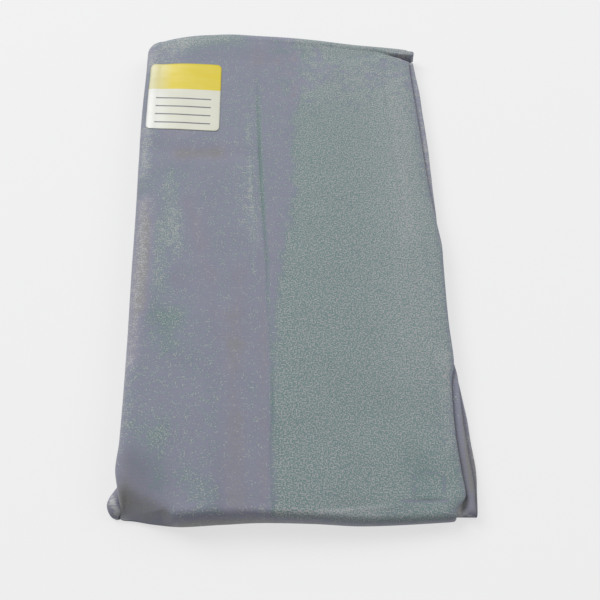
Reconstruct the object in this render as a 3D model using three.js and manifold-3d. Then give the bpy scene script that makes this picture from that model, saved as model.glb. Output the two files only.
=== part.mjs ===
// A pair of plain ankle leggings, folded into a flat pack as they are sold.
//
// Millimetres, +Z up.  The pack lies on z = 0 with its long side along Y and the origin
// under the middle of its bounding box.  The thick rounded spine is on the -X side, the
// open edge with its layers on the +X side, and the two cross folds are at -Y and +Y.
//
// The garment is folded in three across its length and then in half along it, so the
// outermost cloth is one leg over the top and the spine, and the other leg underneath.

import * as THREE from 'three';
import { mergeVertices } from 'three/addons/utils/BufferGeometryUtils.js';
import Module from 'manifold-3d';

const wasm = await Module();
wasm.setup();

// ---------------------------------------------------------------- driving dimensions

const GARMENT_LENGTH = 914; // waist to ankle hem, 36 inches
const PANELS_ALONG = 3; // the length is folded in three
const PACK_LENGTH = GARMENT_LENGTH / PANELS_ALONG;
const HALF = PACK_LENGTH / 2;

const CLOTH = 1.5; // wall of one lofty jersey layer
const GAP = 0.3; // clearance between two pieces
const UNDER_TOP = CLOTH + GAP; // what lies on the bottom layer starts here

const SPINE_ROLL = 10; // how far the spine rounds out past the flat top
const NEAR_ROLL = 6.5;
const ROLL_TURN = (150 * Math.PI) / 180; // from the top surface round to under the pack
const CORNER_BLEND = 6; // where two rolls meet: a higher power keeps them more apart
const ROLL_SQUARENESS = 0.8; // power of sine and cosine: 1 is an ellipse, less is squarer

const CORNER_CUT = 7.5; // the cover's near right corner is rounded off by this much
const CORNER_CUT_FADE = 8; // power of the distance from that corner at which the cut fades out
const EDGE_DROOP = 1.2; // the cover's free edge hangs down a little
const EDGE_DROOP_WIDTH = 6;

// Outlines of the pack seen from above, a row for each place where they change.  The spine
// has a small lobe at its near end, and the far fold rolls tighter towards the open edge.
const SPINE_LINE = [
  { y: -151, x: -89.5 },
  { y: -142.5, x: -93.8 },
  { y: -134, x: -88.6 },
  { y: -124, x: -91.2 },
  { y: -110, x: -89.6 },
  { y: -65, x: -89.5 },
  { y: 30, x: -91.5 },
  { y: 90, x: -92.0 },
  { y: 140, x: -91.4 },
];
const COVER_EDGE = [
  { y: -146, x: 87.0 },
  { y: -130, x: 86.2 },
  { y: -85, x: 83.8 },
  { y: -66, x: 86.0 },
  { y: -15, x: 84.0 },
  { y: 30, x: 82.0 },
  { y: 75, x: 76.4 },
  { y: 135, x: 72.2 },
];
const MIDDLE_EDGE = [
  { y: -143, x: 92.6 },
  { y: -125, x: 91.4 },
  { y: -80, x: 88.6 },
  { y: -55, x: 84.0 },
  { y: 0, x: 81.5 },
  { y: 50, x: 78.6 },
  { y: 130, x: 73.2 },
];
const UNDER_EDGE = [
  { y: -147, x: 93.8 },
  { y: -115, x: 93.2 },
  { y: -85, x: 89.6 },
  { y: -60, x: 84.6 },
  { y: 0, x: 83.0 },
  { y: 60, x: 81.6 },
  { y: 135, x: 75.6 },
];
const NEAR_FOLD = [
  { x: -80, y: -149.5 },
  { x: -58, y: -HALF },
  { x: -15, y: -150.2 },
  { x: 30, y: -151.6 },
  { x: 85, y: -148.8 },
];
const FAR_FOLD = [
  { x: -82, y: 147.4, roll: 9 },
  { x: -40, y: HALF, roll: 8 },
  { x: 0, y: 150.8, roll: 7 },
  { x: 40, y: 147.4, roll: 6 },
  { x: 75, y: 144.8, roll: 4 },
];

// Height of the top surface: its profile across the pack, from the free edge (0) to the
// spine (1), and how that changes along the pack.
const HEIGHT_ACROSS = [
  { across: 0.0, z: 13.2 },
  { across: 0.2, z: 15.4 },
  { across: 0.42, z: 19.4 },
  { across: 0.68, z: 21.6 },
  { across: 0.9, z: 20.6 },
  { across: 1.0, z: 19.2 },
];
const HEIGHT_ALONG = [
  { y: -150, scale: 0.93 },
  { y: -90, scale: 1.0 },
  { y: 50, scale: 1.0 },
  { y: 150, scale: 0.88 },
];

// The largest soft troughs of the top, each along a line from one point to another.
const TROUGHS = [
  { name: 'far_valley', x0: -8, y0: 140, x1: 52, y1: 137, width: 4.5, depth: 1.6 },
  { name: 'far_corner_mouth', x0: 62, y0: 136, x1: 80, y1: 134.5, width: 3.6, depth: 4.4 },
  { name: 'near_left_hollow', x0: -84, y0: -138, x1: -76, y1: -122, width: 9, depth: 3.0 },
  { name: 'beside_crease', x0: -38, y0: -142, x1: -41, y1: -40, width: 7, depth: 0.9 },
  { name: 'left_hollow', x0: -70, y0: -50, x1: -66, y1: -34, width: 10, depth: 0.9 },
  { name: 'under_sticker', x0: -78, y0: 63, x1: -40, y1: 60, width: 8, depth: 0.8 },
];

const MERGE_DISTANCE = 1e-4; // vertices closer than this are one
const ACROSS_STEPS = 16; // flat top, from the free edge to the spine
const ALONG_STEPS = 25; // flat top, from the near fold to the far fold
const ROLL_STEPS = 5;
const END_CROWDING = 0.6; // 0 spaces the steps evenly, more crowds them towards the ends

// The layers that show at the open edge are hairpin folds, one on the other.
const HAIRPIN_DEPTH = 21; // how far each fold reaches back under the cover
const UNDER_HAIRPIN_TOP = 4.4;
const MIDDLE_HAIRPIN_TOP = 9.5;
const HAIRPIN_NEAR = { under: -146.5, underInside: -142, middle: -143 }; // Y of their ends
const HAIRPIN_FAR = { under: 133, middle: 127 };
const BEND_STEPS = 6;
const STRIP_STEPS = 22;

// The bottom layer stops short of the pack's own outline.
const BOTTOM_INSET = { spine: 4.5, near: 5, far: 6 };
const BOTTOM_STEPS = 6;

const CORE_FIRST_COLUMN = 4; // the core starts this many grid columns in from the free edge
const CORE_LAYERS = 4;
const LAYER_GROOVE = 1.4;
const CORE_SIDE_SLOPE = 0.8;
const CORE_FOOT_SPREAD = 0.8; // how far the rolled ends of that side spread along its foot
const CORE_BASE_SCALE = new THREE.Vector3(0.945, 0.97, 1); // its base is smaller than its rim

const STICKER = { x: -65.8, y: 101, width: 44.5, height: 49, corner: 3, turn: -0.05 };
const STICKER_THICKNESS = 0.4;
const STICKER_CORNER_STEPS = 5;
const STICKER_LOWEST = 13; // it lies on the top only, not on the spine's underside

// ---------------------------------------------------------------- helpers

/** Smooth curve through a table's rows: the value of `column` where `key` is `at`. */
function follow(table, key, column, at) {
  const last = table.length - 1;
  const place = THREE.MathUtils.clamp(at, table[0][key], table[last][key]);
  let k = 0;
  while (k < last - 1 && place > table[k + 1][key]) k += 1;
  const slope = (i) => {
    const a = table[Math.max(i - 1, 0)];
    const b = table[Math.min(i + 1, last)];
    return (b[column] - a[column]) / (b[key] - a[key]);
  };
  const span = table[k + 1][key] - table[k][key];
  const t = (place - table[k][key]) / span;
  const rise = table[k + 1][column] - table[k][column];
  const pull = slope(k) * span - rise;
  const push = rise - slope(k + 1) * span;
  return table[k][column] + rise * t + t * (1 - t) * (pull * (1 - t) + push * t);
}

/** Fractions from 0 to 1, closer together at both ends. */
function crowdedSteps(count) {
  return Array.from({ length: count + 1 }, (_, k) => {
    const t = k / count;
    return t - (END_CROWDING * Math.sin(2 * Math.PI * t)) / (2 * Math.PI);
  });
}

/** Sine or cosine raised to the roll's squareness, with its sign kept. */
function squarish(value) {
  return Math.sign(value) * Math.abs(value) ** ROLL_SQUARENESS;
}

/** How deep the troughs press the top surface at a point. */
function troughDepth(x, y) {
  return TROUGHS.reduce((sum, fold) => {
    const run = new THREE.Vector2(fold.x1 - fold.x0, fold.y1 - fold.y0);
    const from = new THREE.Vector2(x - fold.x0, y - fold.y0);
    const t = THREE.MathUtils.clamp(from.dot(run) / run.lengthSq(), 0, 1);
    const off = from.sub(run.multiplyScalar(t)).length() / fold.width;
    return sum + fold.depth * Math.exp(-off * off);
  }, 0);
}

/** Top surface of the pack at a plan point. */
function topHeight(x, y) {
  const edge = follow(COVER_EDGE, 'y', 'x', y);
  const spine = follow(SPINE_LINE, 'y', 'x', y) + SPINE_ROLL;
  const across = (edge - x) / (edge - spine);
  const droop = Math.max(0, 1 - (edge - x) / EDGE_DROOP_WIDTH);
  const plain = follow(HEIGHT_ACROSS, 'across', 'z', across) * follow(HEIGHT_ALONG, 'y', 'scale', y);
  return plain - troughDepth(x, y) - EDGE_DROOP * droop * droop;
}

/**
 * The cover's surface.  `across` runs over the flat top from the free edge (0) to the spine
 * (1) and `along` from the near fold (0) to the far fold (1).  `spineTurn` (0 to 1) goes on
 * round the spine, and `endTurn` (-1 to 1) round the near or the far fold.  Where both turn,
 * the corner is rounded.
 */
function coverPoint({ across, along, spineTurn, endTurn }) {
  const roughY = THREE.MathUtils.lerp(-HALF + NEAR_ROLL, HALF - NEAR_ROLL, along);
  const edge = follow(COVER_EDGE, 'y', 'x', roughY);
  const spine = follow(SPINE_LINE, 'y', 'x', roughY) + SPINE_ROLL;
  const x = THREE.MathUtils.lerp(edge, spine, across);
  const near = follow(NEAR_FOLD, 'x', 'y', x) + NEAR_ROLL;
  const farRoll = follow(FAR_FOLD, 'x', 'roll', x);
  const far = follow(FAR_FOLD, 'x', 'y', x) - farRoll;
  const y = THREE.MathUtils.lerp(near, far, along);

  const top = topHeight(x, y);
  const turn = (spineTurn ** CORNER_BLEND + Math.abs(endTurn) ** CORNER_BLEND) ** (1 / CORNER_BLEND);
  if (turn === 0) return new THREE.Vector3(x, y, top);

  const way = new THREE.Vector2(-spineTurn, endTurn).normalize();
  const out = squarish(Math.sin(turn * ROLL_TURN));
  const middle = (top + UNDER_TOP) / 2;
  const cut = endTurn < 0 ? CORNER_CUT * turn * (1 - across) ** CORNER_CUT_FADE : 0;
  return new THREE.Vector3(
    x + way.x * SPINE_ROLL * out - cut,
    y + way.y * (endTurn < 0 ? NEAR_ROLL : farRoll) * out,
    middle + (top - middle) * squarish(Math.cos(turn * ROLL_TURN)),
  );
}

/** The grid of surface points that the cover, the core and the sticker share. */
function coverGrid() {
  const turns = Array.from({ length: ROLL_STEPS }, (_, k) => (k + 1) / ROLL_STEPS);
  const columns = [
    ...crowdedSteps(ACROSS_STEPS).map((across) => ({ across, spineTurn: 0 })),
    ...turns.map((spineTurn) => ({ across: 1, spineTurn })),
  ];
  const rows = [
    ...turns.toReversed().map((turn) => ({ along: 0, endTurn: -turn })),
    ...crowdedSteps(ALONG_STEPS).map((along) => ({ along, endTurn: 0 })),
    ...turns.map((endTurn) => ({ along: 1, endTurn })),
  ];
  return rows.map((row) => columns.map((column) => coverPoint({ ...row, ...column })));
}

/** Indices of a grid's rim, once round. */
function rimOf(rowCount, columnCount) {
  const rim = [];
  for (let i = 0; i < columnCount - 1; i += 1) rim.push(i);
  for (let j = 0; j < rowCount - 1; j += 1) rim.push(j * columnCount + columnCount - 1);
  for (let i = columnCount - 1; i > 0; i -= 1) rim.push((rowCount - 1) * columnCount + i);
  for (let j = rowCount - 1; j > 0; j -= 1) rim.push(j * columnCount);
  return rim;
}

/** Triangles of a grid's cells, as indices from `start`. */
function gridFaces(rowCount, columnCount, start = 0) {
  const faces = [];
  for (let j = 0; j < rowCount - 1; j += 1) {
    for (let i = 0; i < columnCount - 1; i += 1) {
      const a = start + j * columnCount + i;
      const b = a + 1;
      const c = a + columnCount;
      faces.push([a, c, b], [b, c, c + 1]);
    }
  }
  return faces;
}

/** A copy of a grid moved `distance` along its outward normals. */
function movedOut(grid, distance) {
  const columnCount = grid[0].length;
  const geometry = new THREE.BufferGeometry().setFromPoints(grid.flat());
  geometry.setIndex(gridFaces(grid.length, columnCount).flat());
  geometry.computeVertexNormals();
  const normal = new THREE.Vector3();
  return grid.map((row, j) =>
    row.map((point, i) => {
      normal.fromBufferAttribute(geometry.attributes.normal, j * columnCount + i);
      return point.clone().addScaledVector(normal, distance);
    }),
  );
}

/** A geometry of the given points and triangles, turned so that its faces point out. */
function geometryOf(points, faces) {
  const volume = faces.reduce((sum, [a, b, c]) => {
    return sum + points[a].dot(points[b].clone().cross(points[c]));
  }, 0);
  const outward = volume > 0 ? faces : faces.map(([a, b, c]) => [a, c, b]);
  const geometry = new THREE.BufferGeometry().setFromPoints(points);
  geometry.setIndex(outward.flat());
  return geometry;
}

/** The closed wall between two grids of the same size. */
function wallBetween(outer, inner) {
  const rowCount = outer.length;
  const columnCount = outer[0].length;
  const count = rowCount * columnCount;
  const rim = rimOf(rowCount, columnCount);
  const faces = [
    ...gridFaces(rowCount, columnCount),
    ...gridFaces(rowCount, columnCount, count).map(([a, b, c]) => [a, c, b]),
    ...rim.flatMap((a, k) => {
      const b = rim[(k + 1) % rim.length];
      return [[a, b, count + a], [b, count + b, count + a]];
    }),
  ];
  return geometryOf([...outer.flat(), ...inner.flat()], faces);
}

/** A solid under a grid, closed by a flat base at height `z` that is set in from its rim. */
function solidUnder(grid, z, setIn) {
  const columnCount = grid[0].length;
  const points = grid.flat();
  const rim = rimOf(grid.length, columnCount);
  const base = rim.map((k) => setIn(points[k]).setZ(z));
  const start = points.length;
  const centre = start + base.length;
  const faces = [
    ...gridFaces(grid.length, columnCount),
    ...rim.flatMap((a, k) => {
      const next = (k + 1) % rim.length;
      const below = start + k;
      const belowNext = start + next;
      return [[a, rim[next], below], [rim[next], belowNext, below], [belowNext, centre, below]];
    }),
  ];
  return geometryOf([...points, ...base, new THREE.Vector3(0, 0, z)], faces);
}

/** A closed geometry as a manifold solid. */
function solidOf(geometry) {
  const bare = geometry.clone();
  bare.deleteAttribute('normal');
  bare.deleteAttribute('uv');
  const merged = mergeVertices(bare, MERGE_DISTANCE);
  return new wasm.Manifold(
    new wasm.Mesh({
      numProp: 3,
      vertProperties: merged.attributes.position.array,
      triVerts: new Uint32Array(merged.index.array),
    }),
  );
}

/** A manifold solid as a geometry. */
function geometryFrom(solid) {
  const { vertProperties, triVerts } = solid.getMesh();
  const geometry = new THREE.BufferGeometry();
  geometry.setAttribute('position', new THREE.BufferAttribute(vertProperties, 3));
  geometry.setIndex(Array.from(triVerts));
  return geometry;
}

// ---------------------------------------------------------------- pieces

/** The upper leg: over the top, round the spine and round both cross folds. */
function coverLeg(surface) {
  return wallBetween(surface, movedOut(surface, -CLOTH));
}

/** The layers inside, as one rounded solid with a layered side towards the open edge. */
function hiddenLayers(surface) {
  const inside = movedOut(surface, -CLOTH - GAP).map((row) => row.slice(CORE_FIRST_COLUMN));
  const lastFlat = inside.length - 1 - ROLL_STEPS;
  const grid = inside.map((row, j) => {
    const top = row[0];
    const flatRow = THREE.MathUtils.clamp(j, ROLL_STEPS, lastFlat);
    const turned = (j - flatRow) / ROLL_STEPS;
    const footY = inside[flatRow][0].y + CORE_FOOT_SPREAD * turned;
    const groove = turned === 0 ? LAYER_GROOVE : 0;
    const steps = 2 * CORE_LAYERS;
    const side = Array.from({ length: steps }, (_, k) => {
      const down = 1 - k / steps;
      const notch = k % 2 === 1 ? groove : 0;
      return new THREE.Vector3(
        top.x + CORE_SIDE_SLOPE * down - notch,
        THREE.MathUtils.lerp(top.y, footY, down),
        THREE.MathUtils.lerp(top.z, UNDER_TOP + GAP, down),
      );
    });
    return [...side, ...row];
  });
  return solidUnder(grid, UNDER_TOP, (point) => point.clone().multiply(CORE_BASE_SCALE));
}

/** Section of a hairpin fold that opens towards the spine, from its lower end to its upper. */
function hairpin(edge, low, high) {
  const radius = (high - low) / 2;
  const bend = Array.from({ length: BEND_STEPS + 1 }, (_, k) => {
    const angle = (k / BEND_STEPS - 0.5) * Math.PI;
    return { x: edge - radius + radius * Math.cos(angle), z: low + radius + radius * Math.sin(angle) };
  });
  return [{ x: edge - HAIRPIN_DEPTH, z: low }, ...bend, { x: edge - HAIRPIN_DEPTH, z: high }];
}

/** The middle fold, seen between the cover's edge and the bottom layer. */
function middleFold() {
  const surface = Array.from({ length: STRIP_STEPS + 1 }, (_, j) => {
    const y = THREE.MathUtils.lerp(HAIRPIN_NEAR.middle, HAIRPIN_FAR.middle, j / STRIP_STEPS);
    const edge = follow(MIDDLE_EDGE, 'y', 'x', y);
    const high = MIDDLE_HAIRPIN_TOP * follow(HEIGHT_ALONG, 'y', 'scale', y);
    return hairpin(edge, UNDER_HAIRPIN_TOP + GAP, high).map(({ x, z }) => new THREE.Vector3(x, y, z));
  });
  return wallBetween(surface, movedOut(surface, -CLOTH));
}

/** The lower leg: the flat bottom layer, folded back on itself along the open edge. */
function underLeg() {
  const surface = Array.from({ length: STRIP_STEPS + 1 }, (_, j) => {
    const along = j / STRIP_STEPS;
    const y = THREE.MathUtils.lerp(HAIRPIN_NEAR.under, HAIRPIN_FAR.under, along);
    const [, ...fold] = hairpin(follow(UNDER_EDGE, 'y', 'x', y), 0, UNDER_HAIRPIN_TOP);
    const spine = follow(SPINE_LINE, 'y', 'x', y) + BOTTOM_INSET.spine;
    const floor = Array.from({ length: BOTTOM_STEPS }, (_, k) => {
      const x = THREE.MathUtils.lerp(spine, fold[0].x, k / BOTTOM_STEPS);
      const near = follow(NEAR_FOLD, 'x', 'y', x) + BOTTOM_INSET.near;
      const far = follow(FAR_FOLD, 'x', 'y', x) - BOTTOM_INSET.far;
      return new THREE.Vector3(x, THREE.MathUtils.lerp(near, far, along), 0);
    });
    const inside = fold.pop();
    const insideY = THREE.MathUtils.lerp(HAIRPIN_NEAR.underInside, HAIRPIN_FAR.under, along);
    const bend = fold.map(({ x, z }) => new THREE.Vector3(x, y, z));
    return [...floor, ...bend, new THREE.Vector3(inside.x, insideY, inside.z)];
  });
  return wallBetween(surface, movedOut(surface, -CLOTH));
}

/** The size sticker: a thin rounded label that follows the cover's own facets. */
function sizeSticker(surface) {
  const { x, y, width, height, corner, turn } = STICKER;
  const w = width / 2 - corner;
  const h = height / 2 - corner;
  const outline = new THREE.Shape();
  outline.absarc(w, h, corner, 0, Math.PI / 2);
  outline.absarc(-w, h, corner, Math.PI / 2, Math.PI);
  outline.absarc(-w, -h, corner, Math.PI, 1.5 * Math.PI);
  outline.absarc(w, -h, corner, 1.5 * Math.PI, 2 * Math.PI);
  const cutter = new THREE.ExtrudeGeometry(outline, {
    depth: HALF,
    bevelEnabled: false,
    curveSegments: STICKER_CORNER_STEPS,
  });
  cutter.rotateZ(turn).translate(x, y, STICKER_LOWEST);
  const film = wallBetween(movedOut(surface, GAP + STICKER_THICKNESS), movedOut(surface, GAP));
  return geometryFrom(solidOf(film).intersect(solidOf(cutter)));
}

// ---------------------------------------------------------------- finishes

function knit(colour) {
  return new THREE.MeshStandardMaterial({ color: colour, roughness: 0.92, metalness: 0 });
}

function paper(colour) {
  return new THREE.MeshStandardMaterial({ color: colour, roughness: 0.45, metalness: 0 });
}

// ---------------------------------------------------------------- the folded leggings

const surface = coverGrid();
const pieces = [
  { name: 'cover_leg', shape: coverLeg(surface), finish: knit('#888890') },
  { name: 'hidden_layers', shape: hiddenLayers(surface), finish: knit('#7c7c86') },
  { name: 'middle_fold', shape: middleFold(), finish: knit('#84868c') },
  { name: 'under_leg', shape: underLeg(), finish: knit('#828890') },
  { name: 'size_sticker', shape: sizeSticker(surface), finish: paper('#ddddcc') },
];

const leggings = new THREE.Group();
pieces.forEach(({ name, shape, finish }) => {
  const mesh = new THREE.Mesh(shape, finish);
  mesh.name = name;
  leggings.add(mesh);
});

export default leggings;
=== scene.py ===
# %% [markdown]
# # Folded leggings
# A pair of plain knit leggings lies on a pale table, folded as a shop sells it. The cloth is the whole
# object, so this lesson is about cloth: how a fold rounds over, how layers lie on each other, and how a
# fine jersey looks close up. The solids of the part are loaded first. They fix the size and the place
# of everything, and each piece made here is a thin cloth laid over one of them.

# %% Load the solids
import math

import bpy
import numpy as np
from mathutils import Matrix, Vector


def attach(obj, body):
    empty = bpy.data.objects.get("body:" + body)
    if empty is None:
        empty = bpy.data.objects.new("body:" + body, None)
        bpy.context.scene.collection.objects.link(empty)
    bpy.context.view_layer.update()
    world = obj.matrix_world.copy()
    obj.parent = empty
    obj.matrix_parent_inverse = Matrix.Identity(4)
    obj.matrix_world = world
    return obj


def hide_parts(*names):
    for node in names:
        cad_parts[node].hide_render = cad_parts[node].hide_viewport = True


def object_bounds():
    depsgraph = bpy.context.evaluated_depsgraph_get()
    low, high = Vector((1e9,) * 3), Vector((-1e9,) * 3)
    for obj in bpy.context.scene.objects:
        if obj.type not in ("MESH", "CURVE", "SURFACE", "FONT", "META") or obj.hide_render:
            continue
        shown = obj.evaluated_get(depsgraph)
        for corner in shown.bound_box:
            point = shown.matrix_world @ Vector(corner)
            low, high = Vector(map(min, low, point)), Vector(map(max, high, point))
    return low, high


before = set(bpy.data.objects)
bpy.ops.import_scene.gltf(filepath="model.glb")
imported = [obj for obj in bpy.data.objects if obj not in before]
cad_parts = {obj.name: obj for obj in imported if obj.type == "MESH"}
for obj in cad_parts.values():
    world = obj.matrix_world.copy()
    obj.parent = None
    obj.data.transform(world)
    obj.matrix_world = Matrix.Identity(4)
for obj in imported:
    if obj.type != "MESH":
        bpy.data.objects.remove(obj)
solid_low, solid_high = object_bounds()
print("solids:", sorted(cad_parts), "box", [round(v, 4) for v in (*solid_low, *solid_high)])

# %% [markdown]
# ## Units and small tables
# Blender works in metres, and cloth is easier to think about in millimetres. So the sizes below are
# millimetres, and one helper writes them into a mesh in metres. Outlines that curve gently are kept as
# short tables with named columns, and `follow` reads a smooth curve through their rows.

# %% Size of the pack
MM = 0.001
PACK_WIDTH, PACK_LENGTH = ((solid_high[axis] - solid_low[axis]) / MM for axis in (0, 1))
print("pack", round(PACK_WIDTH, 1), "mm across,", round(PACK_LENGTH, 1), "mm long")


# %% Helpers for tables
def table(names, *rows):
    """A small table, as a dict from each column's name to its values."""
    return dict(zip(names.split(), np.array(rows, float).T))


def follow(rows, column, at):
    """The smooth curve through a table's rows: the value of `column` where the first column is `at`."""
    keys, values = next(iter(rows.values())), rows[column]
    last = len(keys) - 1
    before = np.maximum(np.arange(last + 1) - 1, 0)
    after = np.minimum(np.arange(last + 1) + 1, last)
    slope = (values[after] - values[before]) / (keys[after] - keys[before])
    at = np.clip(at, keys[0], keys[-1])
    k = np.clip(np.searchsorted(keys, at, side="right") - 1, 0, last - 1)
    span = keys[k + 1] - keys[k]
    t = (at - keys[k]) / span
    rise = values[k + 1] - values[k]
    pull, push = slope[k] * span - rise, rise - slope[k + 1] * span
    return values[k] + rise * t + t * (1 - t) * (pull * (1 - t) + push * t)


hill = table("at height", (0, 0), (1, 1), (2, 0))
print("half way up a hill of height 1:", round(float(follow(hill, "height", 0.5)), 3))

# %% [markdown]
# ## The camera comes first
# A folded garment is looked at from above and a little from the front, as it is when it lies on a
# counter. The lens is a slightly long one, so the near end looks only about a quarter wider than the
# far end.

# %% Camera
CAMERA_ELEVATION = math.radians(64.6)
CAMERA_DISTANCE = 523.0
CAMERA_TARGET = Vector((3.3, -28.9, 9.7))
LENS_MM, SENSOR_MM = 57.3, 36.0

view_line = Vector((0, -math.cos(CAMERA_ELEVATION), math.sin(CAMERA_ELEVATION)))
bpy.ops.object.camera_add(location=(CAMERA_TARGET + view_line * CAMERA_DISTANCE) * MM)
camera = bpy.context.object
camera.rotation_euler = (math.pi / 2 - CAMERA_ELEVATION, 0, 0)
camera.data.lens, camera.data.sensor_width = LENS_MM, SENSOR_MM
bpy.context.scene.camera = camera
print("camera", round(CAMERA_DISTANCE), "mm away")

# %% [markdown]
# ## How the pack is folded
# The garment is folded in three across its length, and then in half along it. That leaves a thick
# round spine on the left, a rolled fold at the near and at the far end, and loose layers on the right.
# Seen from above, each of those edges is a line that wanders a little, and these tables hold the lines.
# `roll` is how far a rounded edge reaches out past the flat top, and `waist` is the share of the height
# at which it reaches furthest.

# %% Outlines of the pack
SPINE_LINE = table(
    "y x roll",
    (-150, -87.6, 2.2), (-146, -87.6, 2.4), (-140, -87.4, 4.0), (-133, -88.4, 6.0), (-124, -89.9, 8.5),
    (-110, -88.9, 10), (-65, -88.9, 10), (-10, -89.9, 10), (30, -90.4, 10), (60, -91.2, 10),
    (90, -91.7, 10), (140, -91.4, 10),
)
COVER_EDGE = table(
    "y x",
    (-149, 78.4), (-145, 80.9), (-142.5, 82.8), (-140, 85.0), (-137, 86.3), (-126, 85.2), (-107, 83.4),
    (-84, 83.0), (-76, 83.4), (-69, 84.9), (-63, 85.2), (-42, 83.9), (-8, 83.4), (4, 83.3), (14, 82.0),
    (25, 80.4), (45, 77.9), (90, 74.4), (130, 71.3), (135, 71.8), (139, 74.2), (150, 75.0),
)
MIDDLE_EDGE = table(
    "y x",
    (-147, 91.0), (-135, 91.4), (-127, 90.7), (-113, 89.0), (-97, 87.9), (-84, 87.5), (-76, 86.9),
    (-70, 86.1), (-62, 84.3), (-52, 81.9), (0, 81.4), (22, 81.9), (40, 81.0), (54, 80.3), (90, 78.1),
    (107, 76.9), (126, 75.0), (138, 73.6),
)
UNDER_EDGE = table(
    "y x",
    (-147, 92.7), (-136, 93.3), (-126, 93.6), (-106, 91.9), (-87, 89.9), (-72, 87.6), (-63, 85.0),
    (-54, 82.6), (0, 81.0), (32, 80.9), (56, 79.6), (93, 77.7), (118, 76.0), (138, 74.4),
)
NEAR_FOLD = table(
    "x y roll waist",
    (-88, -147.4, 2.4, 0.2), (-80, -148.2, 2.8, 0.2), (-70, -150.1, 4.2, 0.2), (-57, -151.5, 6.2, 0.2),
    (-35, -150.4, 7.0, 0.22), (-16, -149.8, 5.6, 0.32), (10, -150.4, 5.2, 0.42), (35, -151.5, 5.0, 0.45),
    (76, -149.4, 4.8, 0.42), (85, -148.2, 3.6, 0.4),
)
FAR_FOLD = table(
    "x y roll",
    (-92, 146.4, 9.0), (-84, 147.8, 9.0), (-78, 149.2, 8.8), (-70, 150.6, 8.5), (-60, 151.6, 8.0),
    (-50, 151.8, 7.5), (-38, 151.8, 7.0), (-20, 150.6, 6.5), (0, 149.7, 6.0), (20, 148.2, 5.3),
    (38, 146.8, 4.6), (60, 144.7, 3.0), (69, 143.6, 2.6), (71, 142.9, 2.4), (73.5, 143.3, 2.6),
    (76, 142.2, 2.0),
)
top_width = follow(COVER_EDGE, "x", 0) - follow(SPINE_LINE, "x", 0)
print("upper leg", round(float(top_width), 1), "mm across at its middle")

# %% [markdown]
# The pack is a soft slab. It is fullest towards the spine, where the cloth has to turn round all the
# layers, and it thins out to the open edge.

# %% Height of the pack
LOWEST_WRAP = 0.9
HEIGHT_ACROSS = table(
    "across z",
    (0.0, 13.2), (0.2, 15.4), (0.42, 19.4), (0.68, 21.6), (0.9, 20.6), (1.0, 19.2),
)
HEIGHT_ALONG = table("y scale", (-150, 0.93), (-90, 1.0), (50, 1.0), (150, 0.9))
EDGE_DROOP, EDGE_DROOP_WIDTH = 1.4, 7.0


def spine_top(y):
    """Where the top ends and the roll of the spine begins."""
    return follow(SPINE_LINE, "x", y) + follow(SPINE_LINE, "roll", y)


print("top", HEIGHT_ACROSS["z"].min(), "to", HEIGHT_ACROSS["z"].max(), "mm high")

# %% [markdown]
# ## Creases and hollows
# Three kinds of relief make folded jersey look real. Long pressed lines run with the pack, because it
# was creased under weight. Soft hollows show where the layers inside end. Last come faint rumples, which
# are a smooth noise with a fixed seed. The long lines and hollows are listed one row each.

# %% Long pressed lines
CREASE = table(
    "y x depth",
    (-150, -9.0, 0.26), (-117, -11.1, 0.20), (-94, -10.4, 0.26), (-71, -11.2, 0.16), (-34, -13.8, 0.18),
    (-8, -14.9, 0.34), (32, -18.1, 0.36), (60, -19.8, 0.46), (84, -21.0, 0.30), (112, -22.3, 0.10),
    (140, -23.2, 0.04),
)
CREASE_WIDTH = 0.7
CREASE_ECHO = table("y height", (-40, 0.0), (-5, 0.08), (25, 0.26), (55, 0.22), (90, 0.10), (115, 0.0))
ECHO_OFF, ECHO_WIDTH = -5.8, 1.1
SOFT_STEP = table(
    "y x depth",
    (-150, -32.8, 1.7), (-142, -33.3, 1.5), (-125, -35.2, 0.6), (-106, -36.9, 0.4), (-43, -40.2, 0.35),
    (-10, -42.5, 0.25), (28, -46.0, 0.1), (60, -48.0, 0.0),
)
SOFT_STEP_WIDTH, SOFT_STEP_DROP = 4.2, 0.28
SOFT_STEP_EDGE, SOFT_STEP_REACH = 4, 22
SOFT_STEP_FULL, SOFT_STEP_GONE = 20, 60
EDGE_RIDGE = table(
    "y x height",
    (-118, 76.0, 0.0), (-96, 74.5, 0.12), (-73, 72.4, 0.35), (-44, 68.0, 0.40), (6, 63.2, 0.55),
    (37, 59.2, 0.65), (81, 54.7, 0.65), (120, 52.8, 0.5), (136, 52.2, 0.0),
)
EDGE_RIDGE_WIDTH, SECOND_RIDGE_OFF, SECOND_RIDGE_WIDTH, SECOND_RIDGE_SHARE = 0.9, 6.0, 2.6, 0.45
print("crease", CREASE["depth"].max(), "mm deep at most, ridge", EDGE_RIDGE["height"].max(), "mm high")


# %% Relief of the long lines
def ease(low, high, at):
    """0 below `low`, 1 above `high`, and a soft S between them. It falls where `high` is the lower."""
    t = np.clip((at - low) / (high - low), 0, 1)
    return t * t * (3 - 2 * t)


def bump(off, width):
    """A smooth bump: 1 where `off` is 0, fading to nothing past about twice `width`."""
    return np.exp(-np.square(off / width))


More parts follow.
